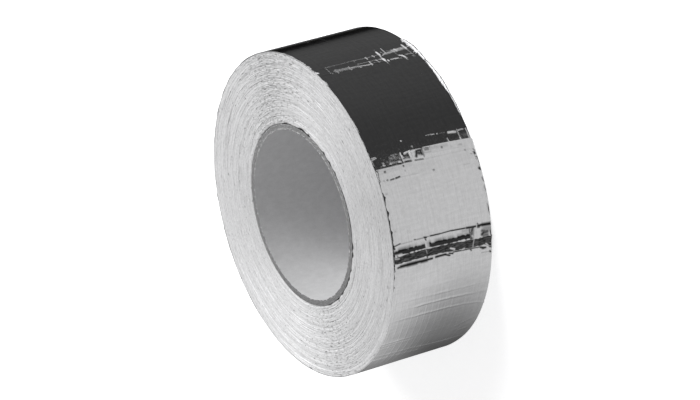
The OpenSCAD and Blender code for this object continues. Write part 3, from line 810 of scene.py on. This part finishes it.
class Nodes:
    """A node tree and short ways to add nodes to it."""

    def __init__(self, tree):
        self.tree = tree
        tree.nodes.clear()

    def fill(self, socket, value):
        """Links a socket to another node's socket, or gives it a value."""
        if isinstance(value, bpy.types.NodeSocket):
            self.tree.links.new(value, socket)
        else:
            socket.default_value = value

    def add(self, kind, *inputs, **options):
        """A node whose inputs are given in order."""
        node = self.tree.nodes.new("ShaderNode" + kind)
        for key, value in options.items():
            setattr(node, key, value)
        for socket, value in zip(node.inputs, inputs):
            self.fill(socket, value)
        return node

    def add_named(self, kind, inputs):
        """The first output of a node whose inputs are given by name."""
        node = self.add(kind)
        for key, value in inputs.items():
            self.fill(node.inputs[key], value)
        return node.outputs[0]

    def math(self, operation, *inputs):
        """The result of a math node."""
        return self.add("Math", *inputs, operation=operation).outputs[0]

    def plus(self, first, *others):
        """The sum of values, added up in their order."""
        for other in others:
            first = self.math("ADD", first, other)
        return first

    def times(self, first, *others):
        """The product of values, taken in their order."""
        for other in others:
            first = self.math("MULTIPLY", first, other)
        return first

    def reach(self, x, y):
        """How far a place lies from the middle, from its two parts."""
        return self.math("SQRT", self.plus(self.times(x, x), self.times(y, y)))

    def around(self, x, y):
        """Angle round the middle, whose seam lies away from the front."""
        return self.math("ARCTAN2", self.times(y, -1.0), self.times(x, -1.0))

    def between(self, value, low, high, to_low=0.0, to_high=1.0):
        """The value, taken from one range to another and held at its ends."""
        return self.add("MapRange", value, low, high, to_low, to_high).outputs[0]

    def mix(self, amount, first, second):
        """A colour between two others."""
        node = self.add("Mix", amount, data_type="RGBA")
        for socket, colour in ((node.inputs[6], first), (node.inputs[7], second)):
            self.fill(socket, colour if isinstance(colour, bpy.types.NodeSocket) else (*colour, 1.0))
        return node.outputs[2]

    def vector(self, x, y, z=0.0):
        """A vector from three numbers or sockets."""
        return self.add("CombineXYZ", x, y, z).outputs[0]

    def noise(self, vector, scale, detail=3.0, roughness=0.5):
        """Value noise between 0 and 1."""
        inputs = {"Vector": vector, "Scale": scale, "Detail": detail, "Roughness": roughness}
        return self.add_named("TexNoise", inputs)

    def streaks(self, first, second, detail=3.0, layer=0.0, roughness=0.5):
        """Noise drawn out along one of two directions, each given as its place and its scale."""
        return self.noise(self.vector(self.times(*first), self.times(*second), layer), 1.0, detail, roughness)

    def bump(self, height, distance):
        """The normal of a surface whose height varies by the given distance."""
        return self.add_named("Bump", {"Height": height, "Distance": distance, "Strength": 1.0})


class Finish(Nodes):
    """A material made of nodes."""

    def __init__(self, name):
        self.material = bpy.data.materials.new(name)
        self.material.use_nodes = True
        super().__init__(self.material.node_tree)

    def surface(self, shader):
        """Gives the material its surface."""
        self.add("OutputMaterial", shader)

    def shader(self, values):
        """Gives the material a principled surface, with its sockets set or linked by name."""
        self.surface(self.add_named("BsdfPrincipled", values))

    def mesh_value(self, name):
        """A value that the mesh keeps at its points."""
        return self.add("Attribute", attribute_name=name).outputs["Fac"]

    def place(self):
        """Radius, arc length round the tread and height of a point, in millimetres."""
        x, y, z = self.add("SeparateXYZ", self.add("TexCoord").outputs["Object"]).outputs
        radius = self.times(self.reach(x, y), 1 / MM)
        return radius, self.times(self.around(x, y), ROLL_R / MM), self.times(z, 1 / MM)


def scaled(colour, times):
    """A colour made lighter or darker."""
    return [min(1, part * times) for part in colour]


# How narrow a yarn's ridge is in the foil, and the height in millimetres of the lowest yarn along the tape
YARN_SHARPNESS = 8.0
FIRST_YARN_Z = 1.2


def foil_finish():
    """Bright foil over a scrim weave, with painted shade and painted glints where the mesh says so."""
    colours, tread = settings().finish, settings().tread
    finish = Finish("bright_foil")
    _, arc, height = finish.place()

    def yarns(place, turn):
        """Ridges of unit height, one at each full turn of a wave along a place."""
        wave = finish.math("COSINE", finish.times(place, turn))
        return finish.math("POWER", finish.between(wave, -1, 1), YARN_SHARPNESS)

    # yarns that run across the tape, then those along it, which stand out most below 113 degrees
    across_yarns = yarns(arc, round(TAU * ROLL_R / tread.weave) * MM / ROLL_R)
    along_yarns = yarns(finish.math("SUBTRACT", height, FIRST_YARN_Z), TAU * MM / tread.weave)
    along_yarns = finish.times(along_yarns, finish.between(arc, -85.0, -35.0, 2.6, 1.15))
    patchy = finish.streaks((arc, 0.05), (height, 0.09), 2.0)
    weave = finish.math("MAXIMUM", finish.times(across_yarns, 0.6), along_yarns)
    weave = finish.times(weave, finish.between(patchy, 0.4, 0.6, 0.45, 1.15))
    # streaks along and across the tape, and a fine crinkle
    along = finish.streaks((arc, 0.12), (height, 1.6))
    across = finish.streaks((arc, 0.9), (height, 0.1))
    crinkle = finish.noise(finish.vector(arc, height), 0.6, 4.0)
    relief = finish.plus(finish.times(weave, 0.5), finish.times(along, 0.5), finish.times(crinkle, 0.9))
    painted_shade, painted_glint_and_fray = finish.mesh_value("painted_shade"), finish.mesh_value("painted_glint_and_fray")
    # painted sheen and shade: the yarns are painted light below 140 degrees round the roll and dark from 164
    # degrees on
    shade = finish.plus(
        finish.between(along, 0.3, 0.7, 0.0, 0.35),
        finish.between(across, 0.3, 0.7, 0.0, 0.3),
        finish.between(crinkle, 0.3, 0.7, 0.0, 0.35),
        finish.times(weave, finish.between(arc, -50.0, -20.0, 0.12, -0.15)),
    )
    clean = finish.mix(shade, scaled(colours.foil, 0.82), scaled(colours.foil, 1.07))
    dull = finish.between(crinkle, 0.3, 0.7, 0.10, 0.15)
    finish.shader({
        # painted shade and dark reflection darken the foil where the mesh says so
        "Base Color": finish.mix(painted_shade, clean, colours.shaded_foil),
        # painted glints: the foil turns pale and diffuse along the creases for their glints, and at its
        # frayed rim
        "Metallic": finish.between(painted_glint_and_fray, 0.2, 1.0, 1.0, 0.1),
        "Roughness": finish.plus(dull, finish.times(painted_shade, 0.25), finish.times(painted_glint_and_fray, 0.35)),
        "Normal": finish.bump(relief, colours.foil_relief),
    })
    return finish.material


def cut_turn_finish():
    """Cut edges of the turns: pale foil and paper, dark cut yarn ends, painted sheen and painted shade in
    gaps.
    """
    colours = settings().finish
    finish = Finish("cut_turns")
    radius, arc, _ = finish.place()

    def streaks(along, across, detail, layer=0.0):
        """Noise drawn out along the turns."""
        return finish.streaks((arc, along), (radius, across), detail, layer)

    ring, fine, line = streaks(0.03, 1.5, 3.0), streaks(0.12, 3.4, 2.0, 3.0), streaks(0.018, 2.6, 1.0, 9.0)
    grain, dash = streaks(0.7, 1.9, 2.0, 5.0), streaks(0.3, 1.7, 2.0, 7.0)
    rare = streaks(0.25, 1.3, 1.0, 11.0)
    density, light, gap = (finish.mesh_value(name) for name in ("yarn_ends", "light", "gap"))
    # the yarn ends are dark dashes, with a few darker ones among them
    dashes = finish.between(finish.plus(dash, finish.times(density, 0.09)), 0.6, 0.72)
    dashes = finish.times(dashes, finish.between(density, 0.0, 0.8, 0.3, 0.5))
    darker = finish.between(finish.plus(rare, finish.times(density, 0.07)), 0.72, 0.77)
    speck = finish.math("MAXIMUM", dashes, finish.times(darker, 0.9))
    shade = finish.plus(
        finish.between(ring, 0.3, 0.7, -0.07, 0.07),
        finish.between(fine, 0.3, 0.7, -0.13, 0.13),
        finish.between(grain, 0.3, 0.7, -0.12, 0.12),
        finish.between(line, 0.35, 0.65, -0.08, 0.08),
        1.0,
    )
    # painted light: the light value paints sheen and shade by angle, and the gap value paints shade in the
    # gaps and along the rim
    value = finish.times(
        finish.times(shade, light),
        colours.cut_edge[0],
        finish.between(speck, 0.0, 1.0, 1.0, colours.cut_edge_dark[0]),
        finish.between(gap, 0.0, 1.0, 1.0, 0.03),
    )
    relief = finish.plus(line, fine, finish.times(grain, 0.3))
    finish.shader({
        "Base Color": finish.vector(value, value, finish.times(value, 1.01)),
        "Metallic": 0.1,
        "Roughness": 0.62,
        "Specular IOR Level": 0.3,
        "Normal": finish.bump(relief, colours.edge_relief),
    })
    return finish.material


def frayed_finish():
    """Thin pale foil that has lost its shine."""
    colours = settings().finish
    finish = Finish("frayed_foil")
    _, arc, height = finish.place()
    crinkle = finish.noise(finish.vector(arc, height), 1.5, 4.0)
    finish.shader({
        "Base Color": finish.mix(
            finish.between(crinkle, 0.35, 0.65), scaled(colours.frayed, 0.85), colours.frayed
        ),
        "Metallic": 0.2,
        "Roughness": 0.5,
        "Normal": finish.bump(crinkle, 0.03 * MM),
    })
    return finish.material


def shaded_adhesive_finish():
    """Dark glue on the side of a turn, nearly black so that it also paints the shade in the narrow gaps
    between turns.
    """
    colours = settings().finish
    finish = Finish("shaded_adhesive_side")
    _, arc, height = finish.place()
    blotch = finish.noise(finish.vector(arc, height), 0.8, 4.0)
    finish.shader({
        "Base Color": finish.mix(
            finish.between(blotch, 0.3, 0.7), colours.shaded_adhesive, scaled(colours.shaded_adhesive, 2.2)
        ),
        "Roughness": 0.6,
        "Normal": finish.bump(blotch, 0.05 * MM),
    })
    return finish.material


def liner_finish():
    """The core's smooth inner paper."""
    colours = settings().finish
    finish = Finish("core_liner")
    _, arc, height = finish.place()
    fibre = finish.noise(finish.vector(arc, finish.times(height, 2.0)), 0.9, 5.0, 0.6)
    stain = finish.noise(finish.vector(arc, height), 0.22, 5.0, 0.65)
    shade = finish.plus(finish.between(fibre, 0.3, 0.7, 0.0, 0.4), finish.between(stain, 0.3, 0.7, 0.0, 0.6))
    finish.shader({
        "Base Color": finish.mix(shade, scaled(colours.liner, 0.84), scaled(colours.liner, 1.05)),
        "Roughness": 0.75,
        "Normal": finish.bump(fibre, 0.02 * MM),
    })
    return finish.material


def board_finish():
    """The core's cut end, where the plies of board show."""
    colours = settings().finish
    finish = Finish("core_board")
    radius, arc, _ = finish.place()
    ply = finish.streaks((arc, 0.3), (radius, 3.0), 5.0, roughness=0.7)
    plies = finish.mix(finish.between(ply, 0.3, 0.7), scaled(colours.board, 0.4), scaled(colours.board, 1.55))
    finish.shader({
        "Base Color": finish.mix(finish.mesh_value("torn"), plies, colours.liner),
        "Roughness": 0.85,
        "Normal": finish.bump(ply, colours.edge_relief),
    })
    return finish.material


# Operators


class FOILROLL_OT_winding(bpy.types.Operator):
    """Make the wound turns under the outermost one"""

    bl_idname = "foil_roll.winding"
    bl_label = "Wound turns"

    def execute(self, context):
        points, faces, slots, attributes = wound_turns()
        finishes = [cut_turn_finish(), shaded_adhesive_finish()]
        piece = new_piece("wound_turns", points, faces, slots, finishes, attributes)
        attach(piece, "root")
        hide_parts("tape")
        return {"FINISHED"}


class FOILROLL_OT_outermost_turn(bpy.types.Operator):
    """Make the outermost turn with its creases and its free end"""

    bl_idname = "foil_roll.outermost_turn"
    bl_label = "Outermost turn"

    def execute(self, context):
        points, faces, slots, attributes = outermost_turn()
        finishes = [foil_finish(), shaded_adhesive_finish(), cut_turn_finish()]
        piece = new_piece("outermost_turn", points, faces, slots, finishes, attributes)
        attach(piece, "root")
        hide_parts("tape")
        strip = new_piece("frayed_strip", *frayed_strip(), [frayed_finish(), shaded_adhesive_finish()])
        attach(strip, "root")
        return {"FINISHED"}


class FOILROLL_OT_core(bpy.types.Operator):
    """Make the board core with its plies and its rough cut ends"""

    bl_idname = "foil_roll.core"
    bl_label = "Core"

    def execute(self, context):
        points, faces, slots, attributes = board_core()
        finishes = [board_finish(), shaded_adhesive_finish(), liner_finish()]
        piece = new_piece("board_core", points, faces, slots, finishes, attributes)
        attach(piece, "root")
        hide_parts("core")
        return {"FINISHED"}


# How light the surroundings are that the foil mirrors, at angles in degrees counted from -X
SURROUNDINGS = (
    (-180, 0.15), (-149, 0.27), (-133, 0.45), (-117, 0.595), (-101, 0.635), (-85, 0.68), (-69, 0.70),
    (-52, 0.665), (0, 0.66), (19.6, 0.64), (20.2, 0.042), (50, 0.046), (71, 0.058), (91, 0.065),
    (111, 0.068), (131, 0.078), (142, 0.073), (148.5, 0.055), (152, 0.012), (156, 0.004), (166, 0.006),
    (172, 0.1), (180, 0.15),
)
# Heights of a direction between which the surroundings blend into an even light above
HORIZON = (-0.05, 0.2)
LIGHT_ABOVE = (0.7, 0.7, 0.7)
# The foil mirrors the surroundings through the floor, less so through a soft spot of it beside the roll,
# a painted shadow of the roll in the reflection: the spot's place, where it begins to fade and where it
# ends, in millimetres, and what it lets through
SPOT_PLACE = (-17, 78)
SPOT_FADE = (12, 77)
SPOT_SHARE = 0.37


class FOILROLL_OT_stage(bpy.types.Operator):
    """Make the floor, the light, the surroundings and the camera"""

    bl_idname = "foil_roll.stage"
    bl_label = "Stage"

    def execute(self, context):
        scene, stage = context.scene, settings().stage
        self.make_floor(scene, stage)
        self.make_light(scene, stage)
        self.make_surroundings(scene, stage)
        self.make_camera(scene, stage)
        scene.view_settings.view_transform = "Standard"
        return {"FINISHED"}

    def make_floor(self, scene, stage):
        half = stage.floor_size / 2
        corners = [(-half, -half, 0), (half, -half, 0), (half, half, 0), (-half, half, 0)]
        mesh = bpy.data.meshes.new("floor")
        mesh.from_pydata(corners, [], [(0, 1, 2, 3)])
        finish = Finish("pale_floor")
        path = finish.add("LightPath").outputs
        diffuse = finish.add("BsdfDiffuse", (*settings().finish.floor, 1.0))
        glow = finish.add("Emission", (1, 1, 1, 1), finish.times(path["Is Camera Ray"], stage.floor_glow))
        both = finish.add("AddShader", diffuse.outputs[0], glow.outputs[0])
        x, y, _ = finish.add("SeparateXYZ", finish.add("TexCoord").outputs["Object"]).outputs
        away = [finish.math("SUBTRACT", part, middle * MM) for part, middle in zip((x, y), SPOT_PLACE)]
        near, far = (radius * MM for radius in SPOT_FADE)
        spot = finish.add(
            "MapRange", finish.reach(*away), near, far, SPOT_SHARE, 1.0, interpolation_type="SMOOTHSTEP"
        )
        clear = finish.add("BsdfTransparent", spot.outputs[0])
        chosen = finish.add("MixShader", path["Is Glossy Ray"], both.outputs[0], clear.outputs[0])
        finish.surface(chosen.outputs[0])
        mesh.materials.append(finish.material)
        floor = bpy.data.objects.new("floor", mesh)
        scene.collection.objects.link(floor)

    def make_light(self, scene, stage):
        light = bpy.data.lights.new("key_light", "AREA")
        light.energy = stage.key_power
        light.size = stage.key_size
        lamp = bpy.data.objects.new("key_light", light)
        flat, turn = math.cos(stage.key_elevation), stage.key_azimuth
        way = Vector((flat * math.cos(turn), flat * math.sin(turn), math.sin(stage.key_elevation)))
        lamp.location = way * stage.key_distance
        lamp.rotation_mode = "QUATERNION"
        lamp.rotation_quaternion = way.to_track_quat("Z", "Y")
        lamp.visible_camera = False
        scene.collection.objects.link(lamp)

    def make_surroundings(self, scene, stage):
        world = bpy.data.worlds.new("surroundings")
        world.use_nodes = True
        nodes = Nodes(world.node_tree)
        x, y, z = nodes.add("SeparateXYZ", nodes.add("TexCoord").outputs["Generated"]).outputs
        ramp = nodes.add("ValToRGB", nodes.between(nodes.around(x, y), -math.pi, math.pi))
        elements = ramp.color_ramp.elements
        while len(elements) < len(SURROUNDINGS):
            elements.new(0.5)
        for element, (degrees, value) in zip(elements, SURROUNDINGS):
            element.position = (degrees + 180) / 360
            element.color = (value, value, value, 1)
        above = nodes.add("MapRange", z, *HORIZON, interpolation_type="SMOOTHSTEP")
        panorama = nodes.mix(above.outputs[0], ramp.outputs[0], LIGHT_ABOVE)
        path = nodes.add("LightPath").outputs
        plain = nodes.mix(path["Is Camera Ray"], [stage.fill] * 3, (1, 1, 1))
        chosen = nodes.mix(path["Is Glossy Ray"], plain, panorama)
        nodes.add("OutputWorld", nodes.add("Background", chosen).outputs[0])
        scene.world = world

    def make_camera(self, scene, stage):
        data = bpy.data.cameras.new("camera")
        data.lens = stage.lens
        data.clip_end = 100
        camera = bpy.data.objects.new("camera", data)
        place, aim = Vector(stage.camera_place), Vector(stage.camera_aim)
        back = (place - aim).normalized()
        right = Vector(stage.picture_up).cross(back).normalized()
        turn = Matrix((right, back.cross(right), back)).transposed().to_4x4()
        camera.matrix_world = Matrix.Translation(place) @ turn
        scene.collection.objects.link(camera)
        scene.camera = camera


class FOILROLL_PG_all(bpy.types.PropertyGroup):
    winding: PointerProperty(type=FOILROLL_PG_winding)
    tread: PointerProperty(type=FOILROLL_PG_tread)
    finish: PointerProperty(type=FOILROLL_PG_finish)
    stage: PointerProperty(type=FOILROLL_PG_stage)


class FOILROLL_PT_panel(bpy.types.Panel):
    """The add-on's buttons and settings"""

    bl_label = "Foil tape roll"
    bl_idname = "FOILROLL_PT_panel"
    bl_space_type = "VIEW_3D"
    bl_region_type = "UI"
    bl_category = "Foil roll"

    def draw(self, context):
        for operator in OPERATORS:
            self.layout.operator(operator.bl_idname)
        for group in ("winding", "tread", "finish", "stage"):
            box = self.layout.box()
            box.label(text=group.capitalize())
            values = getattr(context.scene.foil_roll, group)
            for key in values.__annotations__:
                box.prop(values, key)


GROUPS = (FOILROLL_PG_winding, FOILROLL_PG_tread, FOILROLL_PG_finish, FOILROLL_PG_stage, FOILROLL_PG_all)
OPERATORS = (FOILROLL_OT_winding, FOILROLL_OT_outermost_turn, FOILROLL_OT_core, FOILROLL_OT_stage)


def register():
    for group in (*GROUPS, *OPERATORS, FOILROLL_PT_panel):
        bpy.utils.register_class(group)
    bpy.types.Scene.foil_roll = PointerProperty(type=FOILROLL_PG_all)


def unregister():
    del bpy.types.Scene.foil_roll
    for group in reversed((*GROUPS, *OPERATORS, FOILROLL_PT_panel)):
        bpy.utils.unregister_class(group)


def main():
    register()
    for operator in OPERATORS:
        group, name = operator.bl_idname.split(".")
        getattr(getattr(bpy.ops, group), name)()


if __name__ == "__main__":
    main()
